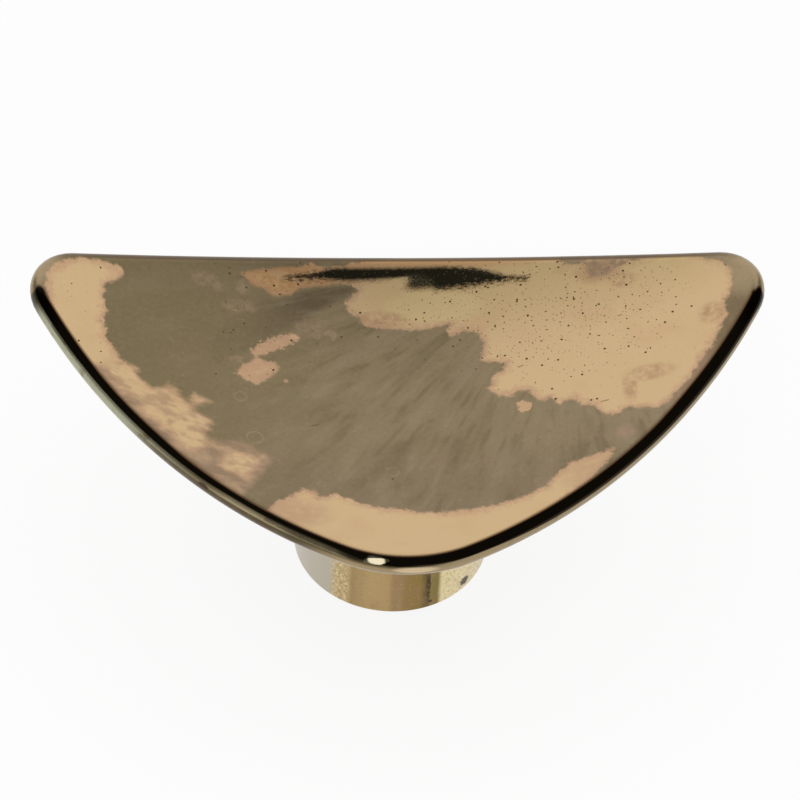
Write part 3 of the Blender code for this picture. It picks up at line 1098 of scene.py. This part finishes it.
def make_studio():
    """A white room for the camera; to a mirror, a pale panel behind the knob and a dim front."""
    scene = bpy.context.scene
    world = bpy.data.worlds.new("studio")
    world.use_nodes = True
    scene.world = world
    tree = Tree(world.node_tree)
    tree.nodes.clear()
    aside, away, up = tree.make_vector("ShaderNodeTexCoord", {}, "Generated").parts()
    climb = up.maths("ARCTAN2", away)
    high = ((climb - PALE_PANEL_MIDDLE) / PALE_PANEL_HALF_HEIGHT).absolute() ** 4
    wide = (aside / PALE_PANEL_HALF_WIDTH).absolute() ** 4
    panel = (high + wide).over(*PALE_PANEL_EDGE)
    dimmed = up.over(*PALE_PANEL_DIM_TOP) * (aside.over(-0.2, 0.2) * 0.25 + 0.3)
    panel = panel * (1 - dimmed)
    path = tree.node("ShaderNodeLightPath", {})
    seen = Value(tree, path.outputs["Is Camera Ray"])
    glossy = Value(tree, path.outputs["Is Glossy Ray"])
    mirrored = panel * (1 - ROOM_LEVEL) + ROOM_LEVEL
    level = glossy * mirrored + (1 - glossy) * SOFT_LIGHT_LEVEL
    level = seen + (1 - seen) * level
    glow = tree.node("ShaderNodeBackground", {}, (1, 1, 1, 1), level)
    tree.node("ShaderNodeOutputWorld", {}, glow.outputs[0])
    scene.view_settings.view_transform = "Standard"


FLOOR_HALF_SIZE = 3.0
FLOOR_DROP = 0.00005
FLOOR_WHITENESS = 0.86


def make_floor():
    """A pale floor just under the foot, which is clear from below, to show the underside."""
    finish = Finish("pale_floor")
    path = finish.node("ShaderNodeLightPath", {})
    seen = Value(finish, path.outputs["Is Camera Ray"])
    mirrored = Value(finish, path.outputs["Is Glossy Ray"])
    from_below = finish.node("ShaderNodeNewGeometry", {}).outputs["Backfacing"]
    matt = finish.node("ShaderNodeBsdfDiffuse", {}, colour(248, 248, 248))
    white = finish.node("ShaderNodeEmission", {}, (1, 1, 1, 1), 1.0)
    mixed = finish.node("ShaderNodeMixShader", {}, (seen + mirrored) * FLOOR_WHITENESS,
                        matt.outputs[0], white.outputs[0])
    clear = finish.node("ShaderNodeBsdfTransparent", {})
    shown = finish.node("ShaderNodeMixShader", {}, from_below, mixed.outputs[0],
                        clear.outputs[0])
    finish.node("ShaderNodeOutputMaterial", {}, shown.outputs[0])
    mesh = bpy.data.meshes.new("floor")
    side = FLOOR_HALF_SIZE
    corners = ((-side, -side), (side, -side), (side, side), (-side, side))
    mesh.from_pydata([(x, y, -FLOOR_DROP) for x, y in corners], [], [(0, 1, 2, 3)])
    mesh.materials.append(finish.material)
    floor = bpy.data.objects.new("floor", mesh)
    bpy.context.scene.collection.objects.link(floor)


KEY_LIGHT_DIRECTION = (math.radians(-24), math.radians(30))
KEY_LIGHT_DISTANCE = 1.0
KEY_LIGHT_SIZE = (0.26, 1.45)
KEY_LIGHT_POWER = 1.7


def make_key_light():
    turn, rise = KEY_LIGHT_DIRECTION
    direction = Vector((math.sin(turn) * math.cos(rise), -math.cos(turn) * math.cos(rise),
                        math.sin(rise)))
    data = bpy.data.lights.new("softbox", "AREA")
    data.shape = "ELLIPSE"
    data.size, data.size_y = KEY_LIGHT_SIZE
    data.energy = KEY_LIGHT_POWER
    lamp = bpy.data.objects.new("softbox", data)
    lamp.location = direction * KEY_LIGHT_DISTANCE
    lamp.rotation_euler = direction.to_track_quat("Z", "Y").to_euler()
    bpy.context.scene.collection.objects.link(lamp)


def make_camera():
    data = bpy.data.cameras.new("camera")
    data.sensor_width = SENSOR_WIDTH * 1000
    data.lens = PIXELS_PER_METRE * CAMERA_DISTANCE / IMAGE_SIZE * data.sensor_width
    data.clip_start = 0.01
    data.clip_end = 50
    camera = bpy.data.objects.new("camera", data)
    axes = Matrix((CAMERA.right, CAMERA.up, CAMERA.back)).transposed().to_4x4()
    camera.matrix_world = Matrix.Translation(CAMERA.place) @ axes
    bpy.context.scene.collection.objects.link(camera)
    bpy.context.scene.camera = camera


make_camera()
make_studio()
make_floor()
make_key_light()
knob = cast_knob(aged_bronze())
lay_patina_and_painted_light(knob.data)
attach(knob, "root")
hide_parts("knob")
